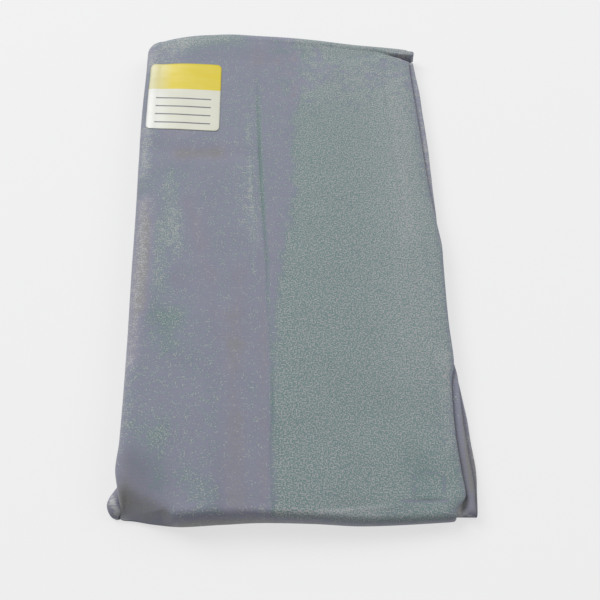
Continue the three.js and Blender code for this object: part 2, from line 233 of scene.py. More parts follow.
def long_lines(x, y):
    """Relief of the lines that run along the pack."""
    off = x - follow(CREASE, "x", y)
    relief = -follow(CREASE, "depth", y) * bump(off, CREASE_WIDTH)
    relief += follow(CREASE_ECHO, "height", y) * bump(off - ECHO_OFF, ECHO_WIDTH)
    off = x - follow(SOFT_STEP, "x", y)
    relief -= follow(SOFT_STEP, "depth", y) * bump(off, SOFT_STEP_WIDTH)
    drop = SOFT_STEP_DROP * ease(-SOFT_STEP_EDGE, SOFT_STEP_EDGE, off) * (1 - ease(0, SOFT_STEP_REACH, off))
    relief -= drop * ease(SOFT_STEP_GONE, SOFT_STEP_FULL, y)
    off = x - follow(EDGE_RIDGE, "x", y)
    ridge = np.maximum(follow(EDGE_RIDGE, "height", y), 0)
    relief += ridge * bump(off, EDGE_RIDGE_WIDTH)
    relief += ridge * SECOND_RIDGE_SHARE * bump(off - SECOND_RIDGE_OFF, SECOND_RIDGE_WIDTH)
    return relief


print("relief in the crease at its far half", round(float(long_lines(-19.8, 60.0)), 2), "mm")

# %% Hollows
HOLLOWS = table(
    "x0 y0 x1 y1 width depth",
    (-90, -136, -78, -141, 17, 1.6),
    (-74, -128, -80, -150, 9, 1.0),
    (-70, -52, -67, -32, 10, 0.9),
    (-62, -92, -60, -74, 9, 0.6),
    (-84, 64, -28, 57, 6, 0.8),
    (-94, 132, -84, 122, 12, 1.6),
    (66, -128, 74, -134, 6, 0.4),
    (20, -100, 60, -96, 16, 0.5),
    (-50, 34, -34, 10, 8, -0.45),
    (-72, 36, -66, -14, 7, -0.5),
)


def strokes(x, y, rows, column):
    """Sum of blurred strokes, each from one point to another, with its own width and strength."""
    total = np.zeros_like(x)
    fields = (rows[name] for name in ("x0", "y0", "x1", "y1", "width", column))
    for x0, y0, x1, y1, width, strength in zip(*fields):
        run_x, run_y = x1 - x0, y1 - y0
        t = np.clip(((x - x0) * run_x + (y - y0) * run_y) / (run_x**2 + run_y**2), 0, 1)
        total += strength * bump(np.hypot(x - x0 - run_x * t, y - y0 - run_y * t), width)
    return total


print("hollows and swells", len(HOLLOWS["depth"]))

# %% Lines across the two ends
NEAR_PRESSED = table(
    "x y depth", (8, -147.6, 0.0), (18, -147.0, 0.3), (50, -143.4, 0.35), (60, -142.4, 0.0),
)
PRESSED_SHARE, PRESSED_WIDTH = 0.7, 1.1
NEAR_NICK = table("x y depth", (58, -140.9, 0.0), (62, -140.7, 0.5), (72, -140.5, 0.5), (76, -140.3, 0.0))
NICK_WIDTH = 0.8
FAR_VALLEY = table(
    "x y width lead depth",
    (-40, 141.5, 3.5, 12, 0.0), (-16, 141.0, 3.0, 12, 0.4), (10, 140.6, 2.6, 12, 0.7),
    (34, 140.4, 2.2, 9, 0.8), (50, 139.4, 1.6, 4, 0.9), (56, 138.7, 1.0, 1.0, 1.2),
    (60, 137.9, 0.9, 0.9, 2.4), (64, 137.2, 1.1, 1.1, 4.4), (67, 136.6, 1.4, 1.4, 6.4),
    (73, 136.1, 1.8, 1.8, 9.0), (80, 135.8, 2.0, 2.0, 10.0),
)


def cross_lines(x, y):
    """Relief of the lines that run across the pack. The far valley is wider on its near side."""
    off = y - follow(NEAR_PRESSED, "y", x)
    relief = PRESSED_SHARE * follow(NEAR_PRESSED, "depth", x) * bump(off, PRESSED_WIDTH)
    relief -= follow(NEAR_NICK, "depth", x) * bump(y - follow(NEAR_NICK, "y", x), NICK_WIDTH)
    off = y - follow(FAR_VALLEY, "y", x)
    off /= np.where(off > 0, follow(FAR_VALLEY, "width", x), follow(FAR_VALLEY, "lead", x))
    relief -= np.maximum(follow(FAR_VALLEY, "depth", x), 0) * np.exp(-np.abs(off) ** 3)
    return relief


print("far valley", FAR_VALLEY["depth"].max(), "mm deep at the open corner")

# %% Rumples
SWELLS = table("cell_x cell_y seed height", (34, 46, 11, 0.22), (15, 19, 12, 0.10))
STREAKS = table("cell_x cell_y seed height", (9, 2.6, 13, 0.07), (5, 4, 14, 0.05))
LATTICE = 256
STREAKS_OPEN_HALF, STREAKS_FADE_ACROSS = 0.35, (10, -35)
STREAKS_NEAR_END, STREAKS_FADE_ALONG = 0.4, (-60, 20)


def soft_noise(x, y, cell_x, cell_y, seed):
    """Smooth noise between about -1 and 1, from a seeded lattice of the given cell size."""
    lattice = np.random.default_rng(seed).uniform(-1, 1, (LATTICE, LATTICE))
    gx, gy = x / cell_x + LATTICE // 2, y / cell_y + LATTICE // 2
    i, j = np.floor(gx).astype(int), np.floor(gy).astype(int)
    tx, ty = gx - i, gy - j
    tx, ty = tx * tx * (3 - 2 * tx), ty * ty * (3 - 2 * ty)
    i, j = i % (LATTICE - 1), j % (LATTICE - 1)
    low = lattice[j, i] * (1 - tx) + lattice[j, i + 1] * tx
    high = lattice[j + 1, i] * (1 - tx) + lattice[j + 1, i + 1] * tx
    return low * (1 - ty) + high * ty


def noise_sum(x, y, rows):
    """Sum of smooth noises, one for each row of a table."""
    fields = zip(rows["cell_x"], rows["cell_y"], rows["seed"].astype(int), rows["height"])
    return sum(height * soft_noise(x, y, cell_x, cell_y, seed) for cell_x, cell_y, seed, height in fields)


def rumples(x, y):
    """Faint relief: broad swells, and finer streaks across the pack on its spine half."""
    spine_half = STREAKS_OPEN_HALF + (1 - STREAKS_OPEN_HALF) * ease(*STREAKS_FADE_ACROSS, x)
    far_half = STREAKS_NEAR_END + (1 - STREAKS_NEAR_END) * ease(*STREAKS_FADE_ALONG, y)
    return noise_sum(x, y, SWELLS) + spine_half * far_half * noise_sum(x, y, STREAKS)


print("rumples up to", round(float(SWELLS["height"].sum() + STREAKS["height"].sum()), 2), "mm")

# %% Height of the top surface
CORNER_BREAK = table(
    "x y", (-96, -129.5), (-85, -135.0), (-75, -139.8), (-65, -144.8), (-55, -150.0), (-45, -156.0),
)
BREAK_SLOPE, BREAK_SOFTNESS, CORNER_LOWEST = 1.35, 2.0, 2.0
TOP_SOFTNESS = 0.6
EXPONENT_LIMIT = 40


def softly_over(value, softness):
    """`value` where it is well over 0, 0 where it is well under, and a smooth bend between."""
    return softness * np.log1p(np.exp(np.clip(value / softness, -EXPONENT_LIMIT, EXPONENT_LIMIT)))


def corner_slide(x, y):
    """How far the near left corner falls below the plain top."""
    return BREAK_SLOPE * softly_over(follow(CORNER_BREAK, "y", x) - y, BREAK_SOFTNESS)


def top_height(x, y):
    """Height of the pack's top at a place seen from above."""
    edge = follow(COVER_EDGE, "x", y)
    across = (edge - x) / (edge - spine_top(y))
    droop = np.maximum(0, 1 - (edge - x) / EDGE_DROOP_WIDTH)
    plain = follow(HEIGHT_ACROSS, "z", across) * follow(HEIGHT_ALONG, "scale", y)
    relief = long_lines(x, y) + cross_lines(x, y) + rumples(x, y)
    height = plain + relief - strokes(x, y, HOLLOWS, "depth") - EDGE_DROOP * droop**2
    return CORNER_LOWEST + softly_over(height - corner_slide(x, y) - CORNER_LOWEST, TOP_SOFTNESS)


middle_height = top_height(np.array([0.0]), np.array([0.0]))[0]
print("top at the middle", round(float(middle_height), 1), "mm high")

# %% [markdown]
# ## Laying a cloth
# Every cloth here starts as Blender's grid, flat, with one row of faces for each step along and across.
# Its vertices are then moved onto a surface worked out in code, as a hand would lay it, and the Solidify
# modifier gives it the thickness of the jersey. A UV map keeps each vertex's place on the flat cloth, in
# metres, so that the knit later follows the folds instead of cutting through them.


# %% A flat grid
def new_grid(name, row_count, column_count):
    """A flat grid, and its vertices' order from row to row."""
    bpy.ops.object.select_all(action="DESELECT")
    bpy.ops.mesh.primitive_grid_add(x_subdivisions=column_count - 1, y_subdivisions=row_count - 1, size=1)
    cloth = bpy.context.object
    cloth.name = cloth.data.name = name
    flat = np.empty(len(cloth.data.vertices) * 3)
    cloth.data.vertices.foreach_get("co", flat)
    flat = flat.reshape(-1, 3)
    return cloth, np.lexsort((flat[:, 0].round(5), flat[:, 1].round(5)))


# %% Lay a cloth on a surface
JERSEY = 0.8


def cloth_lengths(surface, axis):
    """Mean distance along the cloth from its first row (axis 0) or column (axis 1)."""
    run = np.linalg.norm(np.diff(surface, axis=axis), axis=2).mean(axis=1 - axis)
    return np.concatenate([[0], np.cumsum(run)])


def lay_cloth(name, surface, thickness=JERSEY):
    """Makes a cloth whose grid lies on `surface`, an array of rows of points in millimetres."""
    rows, columns = surface.shape[:2]
    cloth, order = new_grid(name, rows, columns)
    mesh = cloth.data
    points = np.empty((rows * columns, 3))
    points[order] = surface.reshape(-1, 3) * MM
    mesh.vertices.foreach_set("co", points.ravel())

    along, across = np.meshgrid(cloth_lengths(surface, 0), cloth_lengths(surface, 1), indexing="ij")
    flat = np.empty((rows * columns, 2))
    flat[order] = np.stack([across, along], axis=2).reshape(-1, 2) * MM
    corner = np.empty(len(mesh.loops), int)
    mesh.loops.foreach_get("vertex_index", corner)
    mesh.uv_layers.active.name = "cloth"
    mesh.uv_layers["cloth"].data.foreach_set("uv", flat[corner].ravel())
    mesh.update()

    wall = cloth.modifiers.new("jersey", "SOLIDIFY")
    wall.thickness, wall.offset = thickness * MM, -1
    bpy.ops.object.modifier_apply(modifier=wall.name)
    bpy.ops.object.shade_smooth()
    size = (across[0, -1] * MM, along[-1, 0] * MM)
    print(name, "triangles", 2 * len(mesh.polygons), "flat size", [round(v, 4) for v in size])
    return cloth, size


print("cloth", JERSEY, "mm thick")

# %% [markdown]
# ## The upper leg
# The cloth that shows most is one leg. It covers the top, turns round the spine and under the pack, and
# rolls over both cross folds. So its grid has more than a top: rows and columns go on round the edges,
# along half of a squarish ellipse, and where two rolls meet they blend into a rounded corner. The last
# columns on the right turn under in a narrow fold, which gives the open edge its soft thickness.

# %% Rows and columns of the upper leg
SPINE_ROOM, END_ROOM = 20, 12
SPINE_STEPS, NEAR_STEPS, FAR_STEPS = 26, 18, 15
COUNTING_STEPS = 4000
TOP_GAPS = table(
    "at gap",
    (0, 0.7), (6, 0.9), (26, 0.9), (34, 1.6), (54, 1.5), (60, 0.55), (80, 0.55), (87, 1.5), (140, 1.6),
    (152, 1.0), (170, 0.6),
)
ALONG_GAPS = table("at gap", (0, 0.7), (14, 1.0), (30, 1.8), (262, 1.8), (274, 0.6), (300, 0.45))


def steps(length, spacing):
    """Places from 0 to `length`, spaced as a table of `at` and `gap` says."""
    fine = np.linspace(0, length, COUNTING_STEPS)
    count = np.concatenate([[0], np.cumsum(np.diff(fine) / follow(spacing, "gap", fine[1:]))])
    return np.interp(np.linspace(0, count[-1], int(round(count[-1])) + 1), count, fine)


def cover_grid():
    """Shares of the way along and across the top, and of the turns round the ends and the spine."""
    width, length = PACK_WIDTH - SPINE_ROOM, PACK_LENGTH - END_ROOM
    top, flat = 1 - steps(width, TOP_GAPS) / width, steps(length, ALONG_GAPS) / length
    across = np.concatenate([np.ones(SPINE_STEPS), top])
    spine_turn = np.concatenate([np.linspace(1, 0, SPINE_STEPS + 1)[:-1], np.zeros(len(top))])
    near_turns, far_turns = np.linspace(-1, 0, NEAR_STEPS + 1)[:-1], np.linspace(0, 1, FAR_STEPS + 1)[1:]
    along = np.concatenate([np.zeros(NEAR_STEPS), flat, np.ones(FAR_STEPS)])
    end_turn = np.concatenate([near_turns, np.zeros(len(flat)), far_turns])
    along, across = np.meshgrid(along, across, indexing="ij")
    end_turn, spine_turn = np.meshgrid(end_turn, spine_turn, indexing="ij")
    return along, across, end_turn, spine_turn


print("upper leg rows and columns", cover_grid()[0].shape)

# %% Places on the top
CREASE_ACROSS = 0.6
SETTLE_PASSES = 3
EDGE_FOLD_RADIUS, EDGE_FOLD_DEPTH = 1.1, 7.0


def cover_places(along, across):
    """Where each point lies from above, and how far the near and the far roll reach out there."""
    # Columns are pulled sideways, so that the closely spaced ones follow the long crease.
    pull = np.sin(math.pi * np.clip(across, 0, 1)) ** 2
    # x depends on y and y on x, so both are worked out in turns until they settle.
    y = -PACK_LENGTH / 2 + END_ROOM / 2 + along * (PACK_LENGTH - END_ROOM)
    for _ in range(SETTLE_PASSES):
        edge = follow(COVER_EDGE, "x", y) - EDGE_FOLD_RADIUS
        spine = spine_top(y)
        crease = (edge - follow(CREASE, "x", y)) / (edge - spine)
        x = edge + (spine - edge) * (across + (crease - CREASE_ACROSS) * pull)
        near_roll, far_roll = follow(NEAR_FOLD, "roll", x), follow(FAR_FOLD, "roll", x)
        near = follow(NEAR_FOLD, "y", x) + near_roll
        far = follow(FAR_FOLD, "y", x) - far_roll
        y = near + (far - near) * along
    return x, y, near_roll, far_roll


print("columns follow the crease at", CREASE_ACROSS, "of the way across")

# %% Surface of the upper leg
ROLL_TURN = math.radians(168)
ROLL_SQUARENESS = 0.8
SPINE_WAIST, FAR_WAIST = 0.5, 0.5
BREAK_FLATNESS, FLAT_ROLL = 3.0, 1.2
CORNER_BLEND = 6
TINY = 1e-9


def squarish(value, power=ROLL_SQUARENESS):
    """A sine or cosine with its curve changed: a power below 1 makes an ellipse squarer."""
    return np.sign(value) * np.abs(value) ** power


def cover_surface():
    """Rows of points of the upper leg's cloth, from the near end to the far end."""
    along, across, end_turn, spine_turn = cover_grid()
    x, y, near_roll, far_roll = cover_places(along, across)
    height = top_height(x, y)
    turn = (spine_turn**CORNER_BLEND + np.abs(end_turn) ** CORNER_BLEND) ** (1 / CORNER_BLEND)
    reach = np.maximum(np.hypot(spine_turn, end_turn), TINY)
    angle = np.minimum(turn * ROLL_TURN, math.pi)
    # Where the near left corner breaks down, the roll loses its roundness.
    cut = ease(0, BREAK_FLATNESS, corner_slide(x, y)) * np.where(end_turn < 0, end_turn / reach, 0) ** 2
    squareness = ROLL_SQUARENESS + FLAT_ROLL * cut
    out, up = squarish(np.sin(angle), squareness), squarish(np.cos(angle), squareness)
    end_waist = np.where(end_turn < 0, follow(NEAR_FOLD, "waist", x), FAR_WAIST)
    share = SPINE_WAIST + (end_waist - SPINE_WAIST) * (end_turn / reach) ** 2
    waist = LOWEST_WRAP + (height - LOWEST_WRAP) * share
    end_roll = np.where(end_turn < 0, near_roll, far_roll)
    return np.stack([
        x - spine_turn / reach * follow(SPINE_LINE, "roll", y) * out,
        y + end_turn / reach * end_roll * out,
        waist + np.where(up > 0, height - waist, waist - LOWEST_WRAP) * up,
    ], axis=2)


print("rolls turn", round(math.degrees(ROLL_TURN)), "degrees")


# %% Lay the upper leg
def turn_under(surface, radius, depth, bend_steps=6, ply_steps=5):
    """Adds a narrow fold to a surface's last column: a bend, and a ply that goes back under it."""
    start = surface[:, -1]
    out = start - surface[:, -2]
    out /= np.linalg.norm(out, axis=1, keepdims=True)
    normal = np.cross(out, np.gradient(start, axis=0))
    normal /= np.linalg.norm(normal, axis=1, keepdims=True)
    extra = []
    for angle in np.linspace(0, math.pi, bend_steps + 1)[1:]:
        extra.append(start + radius * (out * math.sin(angle) - normal * (1 - math.cos(angle))))
    for run in np.linspace(0, depth, ply_steps + 1)[1:]:
        extra.append(start - out * run - normal * 2 * radius)
    return np.concatenate([surface, np.stack(extra, axis=1)], axis=1)


cover_points = turn_under(cover_surface(), EDGE_FOLD_RADIUS, EDGE_FOLD_DEPTH)
upper_leg, upper_leg_size = lay_cloth("upper_leg", cover_points)

# %% [markdown]
# ## Folds at the open edge
# Where a cloth is folded back on itself it never lies quite flat: the bend stays open as a small loop,
# shaped like a drop. Two such folds show past the upper leg's edge. A table gives each fold's line, and
# the same function makes the drop-shaped section, with a shallow groove that parts its two plies.

# %% Section of a drop-shaped fold
FOLD_DEPTH = 21.0
LOOP_LENGTH, LOOP_FULL = 8.0, 0.5
PLY_STEPS, LOOP_STEPS, BEND_STEPS = 5, 15, 18
BEND_SQUARENESS = 0.55
GROOVE_DEPTH, GROOVE_HALF, GROOVE_STRAY = 0.9, 0.35, 0.4


def from_columns(columns):
    """Rows of points from columns, each given by its x, its y and its z."""
    return np.stack([np.stack(np.broadcast_arrays(x, y, z), axis=1) for x, y, z in columns], axis=1)


def fold_section(y, edge, low, high, pinched, groove_stray, loop=LOOP_LENGTH):
    """Columns of a fold's outer face, from its upper ply, round the bend, to its lower ply."""
    radius = (high - low) / 2
    loop_start = FOLD_DEPTH - LOOP_LENGTH
    ply = np.concatenate([np.linspace(0, loop_start, PLY_STEPS + 1)[:-1],
                          np.linspace(loop_start, FOLD_DEPTH, LOOP_STEPS + 1)[:-1]])
    columns = []
    for run in ply:
        swell = ease(0, 1, (run - FOLD_DEPTH + loop) / (loop - LOOP_FULL))
        columns.append((edge - radius - (FOLD_DEPTH - run), y, pinched + (high - pinched) * swell))
    for angle in np.linspace(math.pi / 2, -math.pi / 2, BEND_STEPS + 1):
        z = radius * math.sin(angle)
        groove = GROOVE_DEPTH * bump(z - GROOVE_STRAY * groove_stray, GROOVE_HALF)
        out = radius * abs(math.cos(angle)) ** BEND_SQUARENESS
        columns.append((edge - radius + out - groove, y, low + radius + z))
    for run in ply[::-1]:
        columns.append((edge - radius - (FOLD_DEPTH - run), y, low))
    return from_columns(columns)


print("columns in a fold", 2 * (PLY_STEPS + LOOP_STEPS) + BEND_STEPS + 1)

# %% Ends and edges of a fold
END_ROUNDING, FAR_END_ROUNDING = 3.0, 1.0
CLOSED_HEIGHT = 1.8
STRIP_GAPS = table("at gap", (0, 0.5), (16, 1.2), (260, 1.6), (300, 0.6))


def end_rounding(y, near, far):
    """1 along a fold, sinking to 0 in a quarter circle at both ends."""
    inset = np.clip(np.minimum((y - near) / END_ROUNDING, (far - y) / FAR_END_ROUNDING), 0, 1)
    return np.sqrt(1 - (1 - inset) ** 2)


def stray(y, cell, seed):
    """A smooth wander between -1 and 1 along a fold, which turns about once in each `cell`."""
    return soft_noise(y, 0 * y, cell, 1, seed)


print("a fold closes to", CLOSED_HEIGHT, "mm at its ends")

# %% Middle fold
UNDER_TOP = 4.4
LAYER_GAP = 0.3
MIDDLE_NEAR, MIDDLE_FAR = -146.2, 136.0
MIDDLE_TOP, MIDDLE_PINCHED = 9.6, 8.6
MIDDLE_EDGE_STRAY, MIDDLE_EDGE_CELL, MIDDLE_GROOVE_CELL = 0.35, 14, 30
SINK_FROM, SINK_TO, SINK_DEPTH, SINK_LOOP = -132.0, -140.0, 2.2, 5.0


def middle_surface():
    """Rows of points of the middle fold. At its near end the ply sinks and leaves a narrow loop."""
    y = MIDDLE_NEAR + steps(MIDDLE_FAR - MIDDLE_NEAR, STRIP_GAPS)
    scale = follow(HEIGHT_ALONG, "scale", y)
    low = UNDER_TOP + LAYER_GAP
    closed = end_rounding(y, MIDDLE_NEAR, MIDDLE_FAR)
    high = low + CLOSED_HEIGHT + (MIDDLE_TOP * scale - low - CLOSED_HEIGHT) * closed
    sunk = ease(SINK_FROM, SINK_TO, y)
    pinched = np.minimum(MIDDLE_PINCHED * scale, high) - SINK_DEPTH * sunk
    edge = follow(MIDDLE_EDGE, "x", y) + MIDDLE_EDGE_STRAY * stray(y, MIDDLE_EDGE_CELL, seed=21)
    loop = LOOP_LENGTH + (SINK_LOOP - LOOP_LENGTH) * sunk
    return fold_section(y, edge, low, high, pinched, stray(y, MIDDLE_GROOVE_CELL, seed=22), loop)


middle_fold, middle_fold_size = lay_cloth("middle_fold_cloth", middle_surface())

# %% [markdown]
# ## The lower leg
# The other leg lies underneath. Its cloth starts inside the pack, comes out round the lowest fold of the
# open edge, runs flat along the table under everything, and ends under the spine. At the near left
# corner it curls up into a small ear, so its last columns follow a roll that grows and shrinks there.

# %% Fold of the lower leg
UNDER_NEAR, UNDER_FAR = -145.8, 137.0
UNDER_INSIDE_NEAR = -142.0
UNDER_PINCHED = 2.9
UNDER_EDGE_STRAY, UNDER_EDGE_CELL, UNDER_GROOVE_CELL = 0.3, 12, 26
DEEP_COLUMN, FREE_COLUMN = 5, 12


def under_fold(y, share):
    """The lower leg's fold at the open edge. Its first columns stop short, deep inside the pack."""
    closed = end_rounding(y, UNDER_NEAR, UNDER_FAR + FAR_END_ROUNDING)
    high = CLOSED_HEIGHT + (UNDER_TOP - CLOSED_HEIGHT) * closed
    edge = follow(UNDER_EDGE, "x", y) + UNDER_EDGE_STRAY * stray(y, UNDER_EDGE_CELL, seed=31)
    groove_stray = stray(y, UNDER_GROOVE_CELL, seed=32)
    fold = fold_section(y, edge, 0, high, np.minimum(UNDER_PINCHED, high), groove_stray)
    inside = UNDER_INSIDE_NEAR + (UNDER_FAR - UNDER_INSIDE_NEAR) * share
    deep = ease(FREE_COLUMN, DEEP_COLUMN, np.arange(fold.shape[1]))
    fold[..., 1] += (inside - y)[:, None] * deep
    return fold


print("lowest fold", UNDER_TOP, "mm high")

# %% Surface of the lower leg
FLOOR_NEAR_INSET, FLOOR_FAR_INSET = 4.5, 5.0
FLOOR_STEPS, FLOOR_FULL_LENGTH, EAR_BEGINS = 29, 0.25, 0.9
EAR = table(
    "y x radius",
    (-147.0, -89.2, 0.5), (-146.6, -90.6, 1.3), (-145.6, -91.9, 2.3), (-143.6, -93.1, 3.3),
    (-140.5, -93.8, 4.2), (-137, -92.8, 4.2), (-134, -91.2, 3.5), (-131, -89.6, 2.6), (-128, -88.0, 1.6),
    (-122, -86.4, 0.6), (128, -86.4, 0.3), (140, -84.5, 0.3), (147, -79.0, 0.3),
)
EAR_NEAR, EAR_FAR = -147.0, 146.4
EAR_TURN, EAR_STEPS = math.radians(255), 18


def floor_and_ear(start, share):
    """Columns that run from a fold along the table, and then up round the ear."""
    ear_y = EAR_NEAR + (EAR_FAR - EAR_NEAR) * share
    radius = follow(EAR, "radius", ear_y)
    left = follow(EAR, "x", ear_y) + radius
    columns = []
    for t in np.linspace(0, 1, FLOOR_STEPS + 1)[1:]:
        x = start[:, 0] + (left - start[:, 0]) * t
        near = follow(NEAR_FOLD, "y", x) + FLOOR_NEAR_INSET
        far = follow(FAR_FOLD, "y", x) - FLOOR_FAR_INSET
        floor_y = near + (far - near) * share
        line_y = start[:, 1] + (floor_y - start[:, 1]) * ease(0, FLOOR_FULL_LENGTH, t)
        columns.append((x, line_y + (ear_y - line_y) * ease(EAR_BEGINS, 1, t), 0))
    for angle in np.linspace(0, EAR_TURN, EAR_STEPS + 1)[1:]:
        columns.append((left - radius * math.sin(angle), ear_y, radius * (1 - math.cos(angle))))
    return from_columns(columns)


def under_surface():
    """Rows of points of the lower leg, from its upper ply round the fold and along the table."""
    y = UNDER_NEAR + steps(UNDER_FAR - UNDER_NEAR, STRIP_GAPS)
    share = (y - UNDER_NEAR) / (UNDER_FAR - UNDER_NEAR)
    fold = under_fold(y, share)
    return np.concatenate([fold, floor_and_ear(fold[:, -1], share)], axis=1)


lower_leg, lower_leg_size = lay_cloth("lower_leg", under_surface())

# %% [markdown]
# ## The layers inside
# Everything between the two legs is hidden but for glimpses at the open edge. One rounded solid stands
# for those layers: rows of closed loops, each with a round back, the pack's own top moved down, a right
# side cut into steps like the edges of a folded stack, and a flat base. The end rows close in.

# %% Inner layers
CORE_BASE, CORE_BELOW_TOP = 3.2, 1.5
CORE_NEAR, CORE_FAR, CORE_ENDS = -134.0, 132.0, 4.0
CORE_BACK, CORE_START = 3.0, 27.0
CORE_ROUND, CORE_BACK_LOW, CORE_TOP_FROM = 8.0, 0.5, 0.06
CORE_PLIES, PLY_DEPTH, PLY_ROUNDNESS = 8, 1.2, 0.6
CORE_ROWS, CORE_END_ROWS = 148, 8
BACK_STEPS, TOP_STEPS, SIDE_STEPS, BASE_STEPS = 8, 69, 48, 29


def core_columns(y):
    """Columns of one closed loop of the stack for each `y`: the back, the top, the side and the base."""
    left = follow(SPINE_LINE, "x", y) + CORE_BACK
    right = follow(COVER_EDGE, "x", y) - CORE_START
    back_turns = np.linspace(0, math.pi / 2, BACK_STEPS + 1)[1:]
    places = [left + CORE_ROUND * (1 - math.cos(turned)) for turned in back_turns]
    places += [left + (right - left) * t for t in np.linspace(CORE_TOP_FROM, 1, TOP_STEPS + 1)]
    columns = []
    for x in places:
        top = top_height(np.maximum(x, spine_top(y)), y) - CORE_BELOW_TOP
        rounded = np.sqrt(1 - (1 - np.clip((x - left) / CORE_ROUND, 0, 1)) ** 2)
        share = CORE_BACK_LOW + (1 - CORE_BACK_LOW) * rounded
        columns.append((x, y, CORE_BASE + (top - CORE_BASE) * share))
    right_top = columns[-1][2]
    for t in np.linspace(0, 1, SIDE_STEPS + 1)[1:]:
        ply = PLY_DEPTH * abs(math.sin(math.pi * CORE_PLIES * t)) ** PLY_ROUNDNESS
        columns.append((right + ply, y, right_top * (1 - t) + CORE_BASE * t))
    for t in np.linspace(0, 1, BASE_STEPS + 1)[1:]:
        columns.append((right + (left - right) * t, y, CORE_BASE))
    return columns


def core_surface():
    """Rows of closed loops of the inner stack, from the near end to the far end, which close in."""
    body = np.linspace(CORE_NEAR, CORE_FAR, CORE_ROWS + 2)[1:-1]
    y = np.concatenate([np.full(CORE_END_ROWS, CORE_NEAR), body, np.full(CORE_END_ROWS, CORE_FAR)])
    near_turns, far_turns = np.linspace(-1, 0, CORE_END_ROWS), np.linspace(0, 1, CORE_END_ROWS)
    turn = np.concatenate([near_turns, 0 * body, far_turns]) * math.pi / 2
    loops = from_columns(core_columns(y))
    middle = loops[..., 2].mean(axis=1, keepdims=True)
    loops[..., 2] = middle + (loops[..., 2] - middle) * np.cos(turn)[:, None]
    loops[..., 1] += CORE_ENDS * np.sin(turn)[:, None]
    return loops


core_points = core_surface()
print("inner layers", core_points.shape)

# %% Close the inner stack
MERGE_WITHIN = 0.00002
SMOOTH_BELOW = math.radians(50)


def close_loops(surface, name):
    """A closed solid from rows of closed loops: a grid whose last column meets its first."""
    rows, columns = surface.shape[:2]
    solid, order = new_grid(name, rows, columns + 1)
    points = np.empty((rows * (columns + 1), 3))
    points[order] = np.concatenate([surface, surface[:, :1]], axis=1).reshape(-1, 3) * MM
    solid.data.vertices.foreach_set("co", points.ravel())
    solid.data.update()
    bpy.ops.object.mode_set(mode="EDIT")
    bpy.ops.mesh.select_all(action="SELECT")
    bpy.ops.mesh.remove_doubles(threshold=MERGE_WITHIN)
    bpy.ops.mesh.select_all(action="DESELECT")
    bpy.ops.mesh.select_non_manifold(extend=False)
    bpy.ops.mesh.fill()
    bpy.ops.mesh.select_all(action="SELECT")
    bpy.ops.mesh.normals_make_consistent(inside=False)
    bpy.ops.object.mode_set(mode="OBJECT")
    bpy.ops.object.shade_smooth_by_angle(angle=SMOOTH_BELOW)
    solid.data.uv_layers.active.name = "cloth"
    print(name, "triangles", sum(len(p.vertices) - 2 for p in solid.data.polygons))
    return solid


inner_layers = close_loops(core_points, "inner_layers")

# %% [markdown]
# ## The size sticker
# A paper label sits near the far left corner, stuck on the cloth, so it bends with it. It is a fine grid
# with its corners rounded off, laid a hair above the cloth: where it reaches the spine it curves down.

# %% Height of the cloth anywhere
OVER_THE_SIDE = 0.999


def cloth_height(x, y):
    """Height of the upper leg's cloth from above, the spine's shoulder included."""
    spine, roll = spine_top(y), follow(SPINE_LINE, "roll", y)
    top = top_height(np.maximum(x, spine), y)
    out = np.clip((spine - x) / roll, 0, OVER_THE_SIDE)
    sine = out ** (1 / ROLL_SQUARENESS)
    waist = LOWEST_WRAP + (top - LOWEST_WRAP) * SPINE_WAIST
    return waist + (top - waist) * squarish(np.sqrt(1 - sine**2))


shoulder_height = cloth_height(np.array([-88.0]), np.array([100.0]))[0]
print("cloth beside the sticker", round(float(shoulder_height), 1), "mm high")

# %% Sticker
STICKER_WIDTH, STICKER_HEIGHT, STICKER_CORNER = 44.0, 49.4, 3.0
STICKER_COLUMNS, STICKER_ROWS = 61, 69
STICKER_X, STICKER_Y = -65.9, 101.2
STICKER_TURN, STICKER_SIDE = math.radians(-5.4), math.radians(0.3)
STICKER_LIFT, PAPER = 0.18, 0.12


def sticker_surface():
    """Rows of points of the label, drawn in at its corners and laid on the cloth."""
    u, v = np.meshgrid(np.linspace(-1, 1, STICKER_COLUMNS), np.linspace(-1, 1, STICKER_ROWS))
    half_w, half_h = STICKER_WIDTH / 2, STICKER_HEIGHT / 2
    flat_x, flat_y = u * half_w, v * half_h
    over_x = np.maximum(np.abs(flat_x) - (half_w - STICKER_CORNER), 0)
    over_y = np.maximum(np.abs(flat_y) - (half_h - STICKER_CORNER), 0)
    most, both = np.maximum(over_x, over_y), np.maximum(np.hypot(over_x, over_y), TINY)
    drawn_in = np.where(most > 0, 1 - most / both, 0)
    flat_x = flat_x - np.sign(flat_x) * over_x * drawn_in
    flat_y = flat_y - np.sign(flat_y) * over_y * drawn_in
    x = STICKER_X + flat_x * math.cos(STICKER_TURN) - flat_y * math.sin(STICKER_SIDE)
    y = STICKER_Y + flat_x * math.sin(STICKER_TURN) + flat_y * math.cos(STICKER_SIDE)
    return np.stack([x, y, cloth_height(x, y) + STICKER_LIFT + PAPER], axis=2)


size_label, size_label_size = lay_cloth("size_label", sticker_surface(), thickness=PAPER)

# %% [markdown]
# ## Shader maths as expressions
# A node tree grows unreadable when every multiplication is its own line. The small class below wraps one
# socket, and overloads the operators, so that `1 - mask * 0.3` adds the Math nodes by itself. Every other
# node is made by one method, which takes the node's type, its settings and its inputs.


